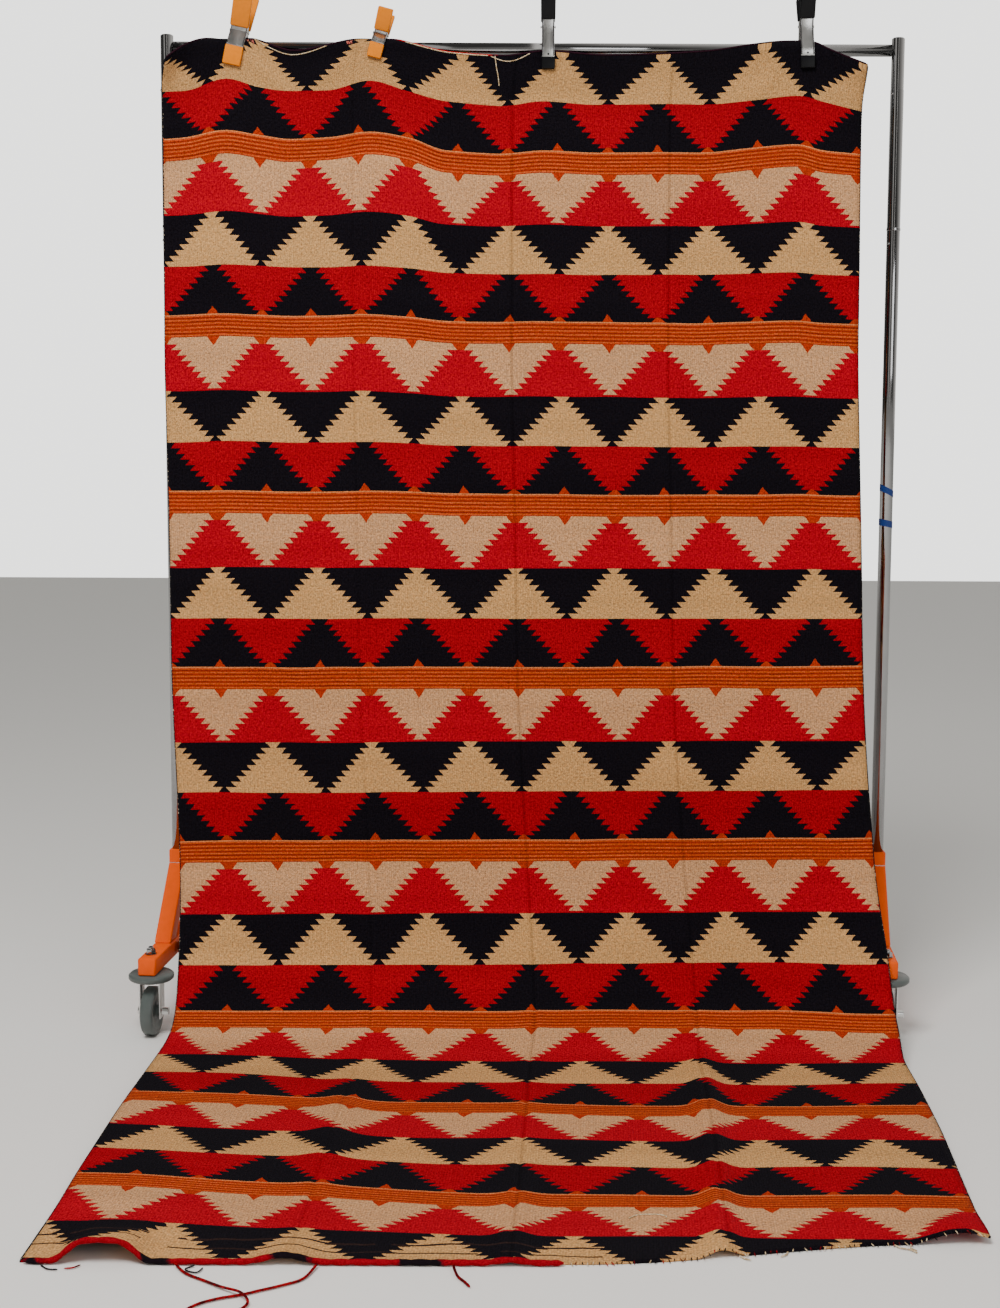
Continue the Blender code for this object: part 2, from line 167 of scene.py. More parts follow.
# A dim front, which gives flat steel its tone
front = put(sky, "MapRange", [behind, -0.75, -1, 0, 0.32])
glow = put(sky, "Math.MAXIMUM", [glow, front])
for strip, width, strength in ((-0.5, 0.1, 0.9), (0.05, 0.04, 1.5)):
    line = put(sky, "MapRange", [apart(sky, right, strip), width, width * 0.6, 0, strength])
    glow = put(sky, "Math.MAXIMUM", [glow, line])
mirrored = put(sky, "Background", {"Color": srgb("F4F0EA"), "Strength": glow})
by_camera = put(sky, "LightPath")
by_gloss = by_camera.node.outputs["Is Glossy Ray"]
mixed = put(sky, "MixShader", [by_gloss, daylight.outputs[0], mirrored])
mixed = put(sky, "MixShader", [by_camera, mixed, backdrop])
fill(sky.nodes["World Output"], {"Surface": mixed})

# %% Lamps
LAMPS = [
    # name, place, size, power, whether shiny parts mirror it
    ("key", (-1.2, -2.8, 4.6), 2, 260, False),
    ("fill", (2.6, -4.6, 2.6), 2.4, 50, True),
]
for name, spot, size, power, mirrored in LAMPS:
    data = bpy.data.lights.new(name, "AREA")
    data.size = size
    data.energy = power
    lamp = add(name, data)
    lamp.location = spot
    lamp.visible_glossy = mirrored
    aim = Vector((0, FRONT - 0.3, 1)) - Vector(spot)
    lamp.rotation_euler = aim.to_track_quat("-Z", "Y").to_euler()
print(len(LAMPS), "lamps and the sky")

# %% [markdown]
# ## The shape of the cloth
# The rug hangs from four clamps, leans forward and turns onto the floor. A cloth simulation would
# find some such shape, but not this one, so the folds are given in a few short tables.
# A point of the cloth is named by how far it is across (u) and how far down from the top edge (v).

# %% Sizes of the cloth
WIDTH = 1.468
LENGTH = 3.035
THICK = 0.003
HALF = WIDTH / 2
RAIL_Z = 2.061
WRAP_R = 0.0155

# %% Tables of the cloth
def mm(rows):
    """A table in millimetres as one in metres."""
    return [tuple(value / 1000 for value in row) for row in rows]


# Distance down the cloth in metres, and its lean from upright in degrees
LEAN = [
    (0, 0.5), (0.15, 1), (0.4, 4), (0.8, 5.6), (1.25, 6.2), (1.5, 7.6), (1.68, 12),
    (1.8, 20), (1.9, 31), (1.98, 44), (2.06, 60), (2.14, 75.5), (2.22, 86),
    (2.3, 88.8), (2.5, 88.8), (2.62, 87), (2.76, 86.4), (2.86, 88.6), (2.93, 90), (3.2, 90),
]
# Distance down the cloth, left edge, right edge
EDGES = mm([
    (0, -764, 698), (110, -776, 691), (600, -774, 691), (970, -764, 698), (1330, -755, 705),
    (1700, -735, 726), (1940, -725, 742), (2060, -720, 741), (2200, -734, 733), (2300, -743, 732),
    (2670, -762, 716), (3040, -781, 693),
])
# Place along the rail, and the lift by the clamps at the top edge, 0.11 m and 0.21 m down
LIFT = mm([
    (-780, -45, 16, 20), (-720, 8, 19, 25), (-630, 37, 46, 41), (-560, 12, 27, 31),
    (-500, -4, 19, 23), (-420, 10, 22, 27), (-330, 30, 45, 40), (-250, 11, 22, 28),
    (-170, -6, 1, 1), (-60, -12, -7, -5), (30, -2, 5, 4), (150, -10, -2, 0), (350, -2, -1, 0),
    (470, 14, 10, 12), (565, 26, 21, 20), (620, 4, 8, 8), (700, -34, -12, 1),
])
# How far down the second of those lifts is taken, and how much further the third
UPPER = 0.106
LOWER = 0.105
# Where the clamps hold, and where the rug was folded
HELD = [-0.627, -0.329, 0.033, 0.575]
FOLDS = [-0.335, 0, 0.331]

# %% Small curves
def smooth(x, table, column=1):
    """Values between the rows of a table, along a curve that never overshoots a row."""
    t = np.array([row[0] for row in table])
    y = np.array([row[column] for row in table])
    run = np.diff(t)
    slope = np.diff(y) / run
    m = np.zeros(len(t))
    m[0] = slope[0]
    m[-1] = slope[-1]
    for i in range(1, len(t) - 1):
        if slope[i - 1] * slope[i] > 0:
            before = 2 * run[i] + run[i - 1]
            after = run[i] + 2 * run[i - 1]
            m[i] = (before + after) / (before / slope[i - 1] + after / slope[i])
    i = np.clip(np.searchsorted(t, x) - 1, 0, len(t) - 2)
    s = np.clip((x - t[i]) / run[i], 0, 1)
    flat = y[i] * (1 + 2 * s) * (1 - s) ** 2 + y[i + 1] * s * s * (3 - 2 * s)
    return flat + run[i] * s * (1 - s) * (m[i] * (1 - s) - m[i + 1] * s)


def between(v, side, table, column=1):
    """A value between the left and the right column of a table."""
    return smooth(v, table, column) * (1 - side) + smooth(v, table, column + 1) * side


def bell(x, middle, spread):
    return np.exp(-(((x - middle) / spread) ** 2))


def step(x, low, high):
    s = np.clip((x - low) / (high - low), 0, 1)
    return s * s * (3 - 2 * s)


# %% The path down the middle
stations = np.linspace(0, 3.2, 1601)
leans = np.radians(smooth(stations, LEAN))
middle = (leans[1:] + leans[:-1]) / 2
pace = stations[1] - stations[0]
out = WRAP_R + np.concatenate([[0], np.cumsum(np.sin(middle) * pace)])
down = np.concatenate([[0], np.cumsum(np.cos(middle) * pace)])
high = down[-1] - down
straight = RAIL_Z - high[0]
print("cloth's top edge hangs at", round(float(high[0]), 4))


def path(s):
    """Forward and up at a distance down the cloth. Above the top it runs round the rail."""
    turn = np.clip((-s - straight) / WRAP_R, 0, np.pi)
    forward = np.where(s < 0, WRAP_R * np.cos(turn), np.interp(s, stations, out))
    over = high[0] + np.clip(-s, 0, straight) + WRAP_R * np.sin(turn)
    return forward, np.where(s < 0, over, np.interp(s, stations, high))


# %% The main folds
def lift_at(x, v):
    """How much higher up its path a point of the cloth is than plain hanging puts it."""
    top = smooth(x, LIFT, 1)
    upper = smooth(x, LIFT, 2)
    lower = smooth(x, LIFT, 3)
    first = np.clip(v / UPPER, 0, 1)
    second = np.clip((v - UPPER) / LOWER, 0, 1)
    fade = 0.35 + 0.65 * (1 - step(v, 0.211, 0.5))
    fade = fade * (1 - step(v, 0.4, 1.3))
    return (top + (upper - top) * first + (lower - upper) * second) * fade


def folded(u, v):
    """The CAD solid's own surface: x, forward and up, from metres across and down its length."""
    side = (u + HALF) / WIDTH
    x = between(v, side, EDGES)
    at_rail = between(0 * v, side, EDGES)
    # On the floor the rows lie further back towards the left edge
    lag = 0.052 * step(-u, 0.1, HALF) * step(v, 2.1, 2.35) * (1 - step(v, 2.85, LENGTH))
    lag += 0.01 * step(u, 0.3, HALF) * step(v, 2.1, 2.35)
    s = v - lift_at(at_rail, v) - lag
    forward, up = path(s)
    # Slack between two clamps stands a little forward, and so do both top corners
    for left, right in zip(HELD, HELD[1:]):
        span = np.clip((at_rail - left) / (right - left), 0, 1)
        forward += 0.011 * np.sin(np.pi * span) ** 2 * step(v, 0, 0.12) * bell(v, 0.1, 0.3)
    forward += 0.05 * bell(at_rail, -0.79, 0.055) * bell(v, 0, 0.085)
    forward += 0.028 * bell(at_rail, 0.71, 0.05) * bell(v, 0, 0.08)
    # Creases left by folding it in four
    for middle in (-0.335, 0, 0.33):
        forward += 0.0035 * bell(u, middle, 0.035) * step(v, 0.2, 0.5) * (1 - step(v, 1.9, 2.1))
    # The right edge is pushed forward past the foot behind it
    forward += 0.022 * step(u, 0.45, HALF) * step(v, 1.72, 1.92) * (1 - step(v, 2.05, 2.25))
    # Ridges and a raised corner on the floor
    lying = step(v, 2.05, 2.3)
    up += 0.013 * bell(u, 0.335 - 0.02 * (v - 2.2), 0.026) * lying
    up += 0.009 * bell(u, 0, 0.03) * bell(v, 2.93, 0.16) * lying
    up += 0.012 * bell(u, -0.335, 0.04) * bell(v, 2.55, 0.2) * lying
    up += 0.012 * bell(u, -0.338, 0.04) * bell(v, LENGTH, 0.08)
    up += 0.034 * np.exp(-(((u + 0.612) / 0.056) ** 4)) * bell(v, LENGTH, 0.072)
    up += 0.02 * step(u, 0.6, 0.69) * step(v, 2.84, 2.96) * (1 - 0.45 * step(u, 0.7, HALF))
    up = np.maximum(up - 0.0012 * lying, 0)
    return x, forward, up


# %% Small folds on top of them
# Sharp fold marks: place across at the top and at the floor, and depth
MARKS = [(-0.338, -0.332, 0.0016), (0.003, -0.003, 0.0026), (0.334, 0.327, 0.0024)]
MARK_HALF = 0.006
# Soft ridges that run down and out from a clamp: place across, degrees from plumb, length, height
DRAGS = [
    (-0.613, 52, 0.22, 0.006), (-0.613, -38, 0.15, 0.004), (-0.315, 50, 0.2, 0.005),
    (-0.315, -48, 0.2, 0.005), (0.061, 40, 0.14, 0.002), (0.606, -42, 0.2, 0.004),
    (0.606, 40, 0.14, 0.003),
]


def surface(u, v):
    """The folded surface with fold marks, drag lines and slow bulges, all on its outer side."""
    x, forward, up = folded(u, v)
    rise = 0.0012 * (1 + np.sin(8.2 * u + 5.7 * v + 0.6)) + 0.001 * (1 + np.sin(15.1 * u - 9.3 * v))
    rise += 0.0008 * (1 + np.sin(3.1 * u + 21 * v + 1.9))
    for top, low, depth in MARKS:
        at = top + (low - top) * v / LENGTH
        rise += depth * (1 - bell(u, at, MARK_HALF)) * bell(u, at, 0.03)
    rise = rise * step(v, 0.12, 0.35) * (1 - step(v, 2.9, LENGTH))
    for place, lean, reach, height in DRAGS:
        across = (u - place) * cos(radians(lean)) - v * sin(radians(lean))
        along = (u - place) * sin(radians(lean)) + v * cos(radians(lean))
        ridge = bell(across, 0, 0.016) * step(along, 0.045, 0.09) * (1 - step(along, 0.1, reach))
        rise += height * ridge
    lean = np.radians(smooth(v, LEAN))
    return x, forward + rise * np.cos(lean), up + rise * np.sin(lean)


def end_cut(u):
    """How much shorter the cloth is at its end, which slants up on the right."""
    return 0.065 * step(u, 0.1, 0.62)


def spot_on(u, v):
    """The surface at one point, as plain numbers: x, forward and up."""
    return [float(value) for value in surface(np.array(u), np.array(v))]


# %% [markdown]
# ## The woven pattern
# On the real rug each colour is its own weft yarn, beaten in so tightly that the warp is hidden,
# so the pattern is part of the cloth and has the same size everywhere. A picture could be wrapped
# over it, but sums in the shader stay sharp at any distance. One repeat down the cloth holds a
# ribbed band and three rows of toothed pyramids. Each next repeat is moved sideways by half a
# pyramid. The unit below is one small step of the pattern, of which a repeat has 172.

# %% Sizes of the pattern
REPEAT = 0.366
STEPS = 172
UNIT = REPEAT / STEPS
# Steps of the first repeat that lie above the top edge, and steps of a ribbed band
FIRST = 73.5
BAND = 22
ACROSS = 0.1418 * WIDTH
PYRAMID = ACROSS / UNIT
print("a pyramid is", round(ACROSS * 1000), "mm wide at its foot")

# %% Wool colours
RED = srgb("A8041B")
DEEP_RED = srgb("9C0216")
BLACK = srgb("131015")
TAN = srgb("C5946A")
GOLD_TAN = srgb("C4945F")
RIBS = [srgb(code) for code in ("7A1A0A", "A83012", "CF5A28", "D27C48")]
# start, tooth height, half width at top, growth, slant, ground, pyramid
TOOTHED = [
    (28.5, 5.5, 13.7, 4.75, 5.2, TAN, RED),
    (74.5, 5.58, 7.4, 5, 4.9, BLACK, GOLD_TAN),
    (124.2, 5.6, 9.1, 4.75, 4.8, DEEP_RED, BLACK),
]

# %% Places on the cloth, for the shader
wool, tree, shader = new_material("tapestry_wool")
plain = put(tree, "UVMap", uv_map="plain")
weave = put(tree, "UVMap", uv_map="weave")
across = put(tree, "SeparateXYZ", [weave])
slow = put(tree, "TexNoise", {"Vector": weave, "Scale": 5, "Detail": 1})
quick = put(tree, "TexNoise", {"Vector": weave, "Scale": 90, "Detail": 1})
made = {"across": across, "along": across.node.outputs[1], "slow": slow, "quick": quick}
SUMS = [
    # A slow noise moves the rows and pyramids by a few millimetres, and a quick one frays the teeth
    ("slow", "SUBTRACT", "slow", 0.5),
    ("quick", "SUBTRACT", "quick", 0.5),
    ("far", "MULTIPLY", "slow", 0.012),
    ("near", "MULTIPLY", "quick", 0.006),
    ("sway", "ADD", "far", "near"),
    ("x", "ADD", "across", "sway"),
    ("drop", "MULTIPLY", "slow", 0.006),
    ("y", "ADD", "along", "drop"),
    # How many steps down, which repeat that is in, and the place in it
    ("steps", "DIVIDE", "y", UNIT),
    ("steps", "ADD", "steps", FIRST),
    ("repeat", "DIVIDE", "steps", STEPS),
    ("repeat", "FLOOR", "repeat", 0),
    ("before", "MULTIPLY", "repeat", STEPS),
    ("p", "SUBTRACT", "steps", "before"),
    ("to end", "SUBTRACT", STEPS, "p"),
    ("past band", "SUBTRACT", "p", BAND),
    # How far aside of the middle of a pyramid, and of the middle between two
    ("odd", "MODULO", "repeat", 2),
    ("half", "MULTIPLY", "odd", 0.5),
    ("phase", "DIVIDE", "x", ACROSS),
    ("phase", "ADD", "phase", 0.0141),
    ("phase", "SUBTRACT", "phase", "half"),
    ("phase", "PINGPONG", "phase", 0.5),
    ("aside", "MULTIPLY", "phase", PYRAMID),
    ("beside", "SUBTRACT", PYRAMID / 2, "aside"),
]
for name, operation, a, b in SUMS:
    made[name] = put(tree, "Math." + operation, [made.get(a, a), made.get(b, b)])
p = made["p"]

# %% Teeth
# A pyramid's half width grows by one tooth at a time and slants back within each tooth.
pattern = TAN
for start, tooth, top, growth, slant, ground, figure in TOOTHED:
    y = put(tree, "Math.SUBTRACT", [p, start])
    y = put(tree, "Math.DIVIDE", [y, tooth])
    whole = put(tree, "Math.FLOOR", [y])
    whole = put(tree, "Math.MULTIPLY_ADD", [whole, growth + slant, top])
    slanted = put(tree, "Math.MULTIPLY", [y, slant])
    wide = put(tree, "Math.SUBTRACT", [whole, slanted])
    inside = put(tree, "Math.LESS_THAN", [made["aside"], wide])
    row = put(tree, "Mix", {0: inside, 6: ground, 7: figure}, **RGBA)
    reached = put(tree, "Math.GREATER_THAN", [p, start])
    pattern = put(tree, "Mix", {0: reached, 6: pattern, 7: row}, **RGBA)

# %% Plain strips and orange points
# Bands of p: from, to and colour
STRIPS = [(72.5, 74.5, RED), (167.5, STEPS, BLACK)]
for start, end, colour in STRIPS:
    off = apart(tree, p, (start + end) / 2)
    inside = put(tree, "Math.LESS_THAN", [off, (end - start) / 2])
    pattern = put(tree, "Mix", {0: inside, 6: pattern, 7: colour}, **RGBA)
POINTS = [
    # measured from, distance from the band, half width at the band, half width at the tip, height
    ("aside", "past band", 8.5, 3.5, 6.5),
    ("beside", "past band", 6.3, 0, 9),
    ("aside", "to end", 5.5, 0, 7.7),
    ("beside", "to end", 6.7, 1.5, 5),
]
for centre, away, base, tip, height in POINTS:
    wide = put(tree, "Math.MULTIPLY_ADD", [made[away], (tip - base) / height, base])
    inside = put(tree, "Math.LESS_THAN", [made[centre], wide])
    near = put(tree, "Math.LESS_THAN", [made[away], height])
    inside = put(tree, "Math.MULTIPLY", [inside, near])
    pattern = put(tree, "Mix", {0: inside, 6: pattern, 7: RIBS[1]}, **RGBA)

# %% The ribbed band
# Six light ribs with dark lines between them, and one pale weft along the band's top edge
RIB = 3.7
PALE = 1.1
ribs = put(tree, "Math.DIVIDE", [p, RIB])
ribs = put(tree, "Math.PINGPONG", [ribs, 0.5])
ribs = put(tree, "MapRange", [ribs, 0.12, 0.44])
band = put(tree, "Mix", {0: ribs, 6: RIBS[0], 7: RIBS[2]}, **RGBA)
stretch = put(tree, "Mapping", {"Vector": weave, "Scale": (9, 160, 1)})
dye = put(tree, "TexNoise", {"Vector": stretch, "Scale": 1, "Detail": 2})
dye = put(tree, "MapRange", [dye, 0.35, 0.65, 0, 0.55])
band = put(tree, "Mix", {0: dye, 6: band, 7: RIBS[1]}, **RGBA)
edge = put(tree, "Math.LESS_THAN", [p, PALE])
band = put(tree, "Mix", {0: edge, 6: band, 7: RIBS[3]}, **RGBA)
in_band = put(tree, "Math.LESS_THAN", [p, BAND])
pattern = put(tree, "Mix", {0: in_band, 6: pattern, 7: band}, **RGBA)

# %% Dark lines near the end
# In the last row two dark wefts wander through the tan wool, broken here and there.
WANDER = 0.028
LAST_RIGHT = HALF + 0.14
wander = put(tree, "TexNoise", {"Vector": weave, "Scale": 9, "Detail": 2})
gaps = {"Vector": weave, "Scale": 8, "Detail": 3, "W": 1}
gaps = put(tree, "TexNoise", gaps, noise_dimensions="4D")
kept = put(tree, "Math.GREATER_THAN", [gaps, 0.4])
to_right = put(tree, "Math.LESS_THAN", [across, LAST_RIGHT])
kept = put(tree, "Math.MULTIPLY", [kept, to_right])
for place, width in ((2.969, 0.0024), (2.997, 0.0018)):
    line = put(tree, "Math.MULTIPLY_ADD", [wander, WANDER, place - WANDER / 2])
    line = put(tree, "Math.LESS_THAN", [apart(tree, made["along"], line), width])
    line = put(tree, "Math.MULTIPLY", [line, kept])
    pattern = put(tree, "Mix", {0: line, 6: pattern, 7: srgb("2B1D1B")}, **RGBA)

# %% [markdown]
# ## Wool
# Hand-spun wool is never one colour: fibres of several shades are carded together and the dye
# takes unevenly from one batch to the next. Each weft also bends over the warps in small ribs. A
# plain colour looks like paint, so the pattern is multiplied by a tone made of those effects, with
# painted shade in the hollows between the ribs, along the creases and at the top edge.

# %% Heather, batches and ribs
# Warps stand 4.4 mm apart under the wefts, which are beaten in at 1.5 mm.
WARP = 0.0044
WEFT = 0.0015
stretched = put(tree, "Mapping", {"Vector": weave, "Scale": (90, 420, 1)})
streak = put(tree, "TexNoise", {"Vector": stretched, "Scale": 1, "Detail": 3})
fleck = put(tree, "TexNoise", {"Vector": weave, "Scale": 250, "Detail": 2})
lengthwise = put(tree, "Mapping", {"Vector": weave, "Scale": (1.5, 22, 1)})
batch = put(tree, "TexNoise", {"Vector": lengthwise, "Scale": 1, "Detail": 1})
warp = put(tree, "Math.DIVIDE", [across, WARP])
shift = put(tree, "Math.FLOOR", [warp])
warp = put(tree, "Math.PINGPONG", [warp, 0.5])
tone = put(tree, "Math.MULTIPLY_ADD", [streak, 0.5, 0.75])
# The warp's share is painted shade: the wool is drawn darker in the hollows between the ribs.
for part, share in ((fleck, 1.8), (batch, 0.3), (warp, 0.26)):
    gain = put(tree, "Math.MULTIPLY_ADD", [part, share, 0.98 - share / 2])
    tone = put(tree, "Math.MULTIPLY", [tone, gain])

# %% Painted shade at the creases and the top
# Painted shade: the wool is drawn a little darker along each crease, and so is the top of the cloth.
CREASE_SHADE_HALF = 0.0055
WARM = (1.16, 1, 0.8, 1)
COOL = (0.88, 1, 1.16, 1)
lay = put(tree, "SeparateXYZ", [plain])
# Painted shade: the cloth is drawn darker towards its top edge, down to 0.8 over the top 0.17 m
painted_top_shade = put(tree, "MapRange", [lay.node.outputs[1], 0, 0.17, 0.8, 1])
tone = put(tree, "Math.MULTIPLY", [tone, painted_top_shade])
# Painted shade: a thin darker line down each crease
for place, dark in zip(FOLDS, (0.14, 0.28, 0.26)):
    painted_crease_shade = put(tree, "MapRange", [apart(tree, lay, HALF + place), 0, CREASE_SHADE_HALF, 1 - dark, 1])
    tone = put(tree, "Math.MULTIPLY", [tone, painted_crease_shade])
hue = put(tree, "TexNoise", {"Vector": weave, "Scale": 150, "Detail": 2})
tint = put(tree, "Mix", {0: hue, 6: WARM, 7: COOL}, **RGBA)
# The pattern with its random tint, times a tone that also holds the painted shade
heathered_and_shaded = put(tree, "VectorMath.MULTIPLY", [pattern, tint])
heathered_and_shaded = put(tree, "VectorMath.SCALE", {0: heathered_and_shaded, "Scale": tone})

# %% Weave relief
weft = put(tree, "Math.DIVIDE", [made["along"], WEFT])
weft = put(tree, "Math.MULTIPLY_ADD", [shift, 0.5, weft])
weft = put(tree, "Math.PINGPONG", [weft, 0.5])
relief = put(tree, "Math.ADD", [warp, weft])
relief = put(tree, "Math.ADD", [relief, streak])
bump = put(tree, "Bump", {"Height": relief, "Strength": 0.8, "Distance": 0.0011})

# %% Wool shader
# Wool scatters light in its fuzz: very rough, no gloss, and a trace of sheen at the edges.
fill(shader, {"Base Color": heathered_and_shaded, "Normal": bump, "Roughness": 1})
fill(shader, {"Specular IOR Level": 0, "Sheen Weight": 0.015, "Sheen Roughness": 0.5})
print("tapestry_wool has", len(tree.nodes), "nodes")

# %% [markdown]
# ## The cloth itself
# The cloth is one thick sheet. A grid of points follows the surface, closer together at the fold
# marks and the bend, and a Solidify modifier gives it its 3 mm on the front and upper side. That
# keeps the back exactly where the rack needs it.

# %% Drift of the weaving
# Rows made by hand aren't quite even. Distance down, then how far the pattern sits aside at the left
# and right edges, and how far up it sits at the left and right edges.
DRIFT = mm([
    (0, 12, -12, 0, -10), (230, 6, -6, 0, -4), (500, 0, -7, 12, 5), (800, 0, -16, 12, 9),
    (1250, 0, -19, 9, 16), (1600, -1, -10, 7, 20), (1850, 0, -2, 11, 25), (2030, -3, -1, 3, 12),
    (2200, -8, 0, 3, -4), (2500, -4, -1, -6, -22), (2760, 1, -2, 0, -28), (3040, 6, -1, 12, -34),
])
# The pattern starts no higher than this, so that the row above it doesn't show at the top edge
TOP_ROW = 0.0045


def woven(u, v):
    """Where in the pattern a point of the cloth lies."""
    side = (u + HALF) / WIDTH
    above = between(v, side, DRIFT, 3)
    return u + HALF + between(v, side, DRIFT), np.maximum(v + above, TOP_ROW)


# %% Cloth mesh
columns = np.linspace(-HALF, HALF, 121)
for place in FOLDS:
    columns = np.union1d(columns, place + np.linspace(-0.018, 0.018, 13))
rows = np.concatenate([
    np.linspace(0, 0.24, 46), np.linspace(0.253, 1.65, 90), np.linspace(1.665, 2.35, 56),
    np.linspace(2.365, LENGTH, 56),
])
u, v = np.meshgrid(columns, rows)
v = v - end_cut(u) * step(v, 2.6, LENGTH)
x, forward, up = surface(u, v)
points = np.stack([x, FRONT - forward, up], axis=-1).reshape(-1, 3)
wide = len(columns)
corner = (np.arange(len(rows) - 1)[:, None] * wide + np.arange(wide - 1)).reshape(-1)
faces = np.stack([corner, corner + wide, corner + wide + 1, corner + 1], axis=1)
cloth = bpy.data.meshes.new("rug_cloth")
cloth.from_pydata(points.tolist(), [], faces.tolist())
for name, places in (("weave", woven(u, v)), ("plain", (u + HALF, v))):
    layer = cloth.uv_layers.new(name=name)
    flat = np.stack([place.reshape(-1) for place in places], axis=1)
    layer.data.foreach_set("uv", flat[faces.reshape(-1)].reshape(-1))
cloth.shade_smooth()
rug = add("rug_cloth", cloth)
cloth.materials.append(wool)
shell = rug.modifiers.new("thickness", "SOLIDIFY")
shell.thickness = THICK
shell.offset = 1
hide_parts("rug")
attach(rug, "root")
print("cloth has", len(faces), "faces on one side")

# %% [markdown]
# ## Yarn
# The roll at the cloth's end, its selvedges, the free yarn ends and the frayed wefts are strands.
# A bevelled curve would give a smooth tube. Yarn shows its plies, so one function carries a ring
# of points along a route, with a groove for each ply that turns as it goes.

# %% Yarn materials
DRY = {"Roughness": 1, "Specular IOR Level": 0.08}


def wool_yarn(name, light, dark, size, low=0.42, high=0.58):
    """Plied wool: two tones in short lengths, with a fine fuzz of bumps."""
    made, tree, shader = new_material(name)
    spot = put(tree, "TexCoord", out=3)
    patch = put(tree, "TexNoise", {"Vector": spot, "Scale": size, "Detail": 2})
    blend = put(tree, "MapRange", [patch, low, high])
    colour = put(tree, "Mix", {0: blend, 6: srgb(dark), 7: srgb(light)}, **RGBA)
    fuzz = put(tree, "TexNoise", {"Vector": spot, "Scale": 1500, "Detail": 3})
    relief = put(tree, "Bump", {"Height": fuzz, "Strength": 0.6, "Distance": 0.0004})
    fill(shader, {"Base Color": colour, "Normal": relief, **DRY})
    return made


red_yarn = wool_yarn("red_wool_yarn", "920A14", "3E0609", 130)
black_yarn = wool_yarn("black_wool_yarn", "17151A", "0A090C", 200)
cream_yarn = wool_yarn("cream_warp_yarn", "D3BF9F", "A88C66", 200)
rose_yarn = wool_yarn("faded_red_yarn", "B5695A", "8A2F2C", 200)
edge_yarn = wool_yarn("selvedge_yarn", "141116", "B9A68C", 260, 0.3, 0.4)

# %% Red yarn with black lengths
# The roll is red with four black lengths, and the cord of the top edge red in one stretch only.
def dyed_lengths(name, main, other, spans):
    """Wool that changes colour over some stretches, given as a middle and a half length in x."""
    made, tree, shader = new_material(name)
    spot = put(tree, "TexCoord", out=3)
    x = put(tree, "SeparateXYZ", [spot])
    ragged = put(tree, "TexNoise", {"Vector": spot, "Scale": 70, "Detail": 3})
    colour = srgb(main)
    for middle, half in spans:
        off = put(tree, "Math.MULTIPLY_ADD", [ragged, 0.05, apart(tree, x, middle)])
        inside = put(tree, "MapRange", [off, half + 0.031, half + 0.019])
        colour = put(tree, "Mix", {0: inside, 6: colour, 7: srgb(other)}, **RGBA)
    shade = put(tree, "TexNoise", {"Vector": spot, "Scale": 420, "Detail": 2})
    shade = put(tree, "Math.MULTIPLY_ADD", [shade, 1.5, 0.25])
    colour = put(tree, "VectorMath.SCALE", {0: colour, "Scale": shade})
    relief = put(tree, "Bump", {"Height": ragged, "Strength": 0.5, "Distance": 0.0006})
    fill(shader, {"Base Color": colour, "Normal": relief, **DRY})
    return made


roll_yarn = dyed_lengths("red_roll_with_black_lengths", "860616", "140D12", [
    (-0.763, 0.015), (-0.576, 0.024), (-0.372, 0.03), (-0.178, 0.03),
])
top_yarn = dyed_lengths("dark_top_cord", "25101A", "9C1216", [(-0.185, 0.1)])

# %% A twisted strand
def tube_faces(rings, sides):
    """Faces between rings of points, closed at both ends."""
    first = (np.arange(rings - 1)[:, None] * sides + np.arange(sides)).reshape(-1)
    after = (np.arange(rings - 1)[:, None] * sides + (np.arange(sides) + 1) % sides).reshape(-1)
    faces = np.stack([first, after, after + sides, first + sides], axis=1).tolist()
    return faces + [list(range(sides))[::-1], list(range((rings - 1) * sides, rings * sides))]


def strand(route, radius, pitch=0.011, plies=2, sides=10, close=0.0016):
    """Points and faces of a twisted strand along a route of x, y and z. No plies make a wire."""
    route = np.array(route, float)
    gaps = np.linalg.norm(np.diff(route, axis=0), axis=1)
    reach = np.concatenate([[0], np.cumsum(gaps)])
    count = max(int(reach[-1] / close), 3)
    s = np.linspace(0, reach[-1], count + 1)
    centre = np.stack([np.interp(s, reach, route[:, k]) for k in range(3)], axis=1)
    ahead = np.gradient(centre, axis=0)
    ahead /= np.linalg.norm(ahead, axis=1)[:, None]
    side = np.zeros_like(ahead)
    side[0] = np.cross(ahead[0], (0.03, 0.02, 1) if abs(ahead[0][2]) < 0.9 else (1, 0.02, 0.03))
    for i in range(len(ahead)):
        last = side[i - 1] if i else side[0]
        flat = last - ahead[i] * (last @ ahead[i])
        side[i] = flat / np.linalg.norm(flat)
    above = np.cross(side, ahead)
    angle = np.linspace(0, 2 * np.pi, sides, endpoint=False)
    groove = 0.74 + 0.26 * np.abs(np.cos(plies / 2 * (angle[None] - 2 * np.pi * s[:, None] / pitch)))
    ends = np.sqrt(np.clip(np.minimum(s, reach[-1] - s) / (2 * radius), 0.15, 1))
    size = radius * groove * ends[:, None]
    ring = side[:, None] * np.cos(angle)[None, :, None] + above[:, None] * np.sin(angle)[None, :, None]
    points = (centre[:, None] + ring * size[:, :, None]).reshape(-1, 3)
    return points, tube_faces(count + 1, sides)


def build(name, shapes, paint, smooth_edges=40):
    """One object from several lists of points and faces."""
    points = []
    faces = []
    for some_points, some_faces in shapes:
        faces += [[index + len(points) for index in face] for face in some_faces]
        points += [tuple(point) for point in some_points]
    data = bpy.data.meshes.new(name)
    data.from_pydata(points, [], faces)
    data.materials.append(paint)
    data.shade_smooth()
    data.set_sharp_from_angle(angle=radians(smooth_edges))
    made = add(name, data)
    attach(made, "root")
    return made


# %% The rolled end
ROLL_R = 0.005
spots = np.linspace(-HALF + 0.006, 0.08, 120)
x, forward, up = surface(spots, LENGTH - end_cut(spots))
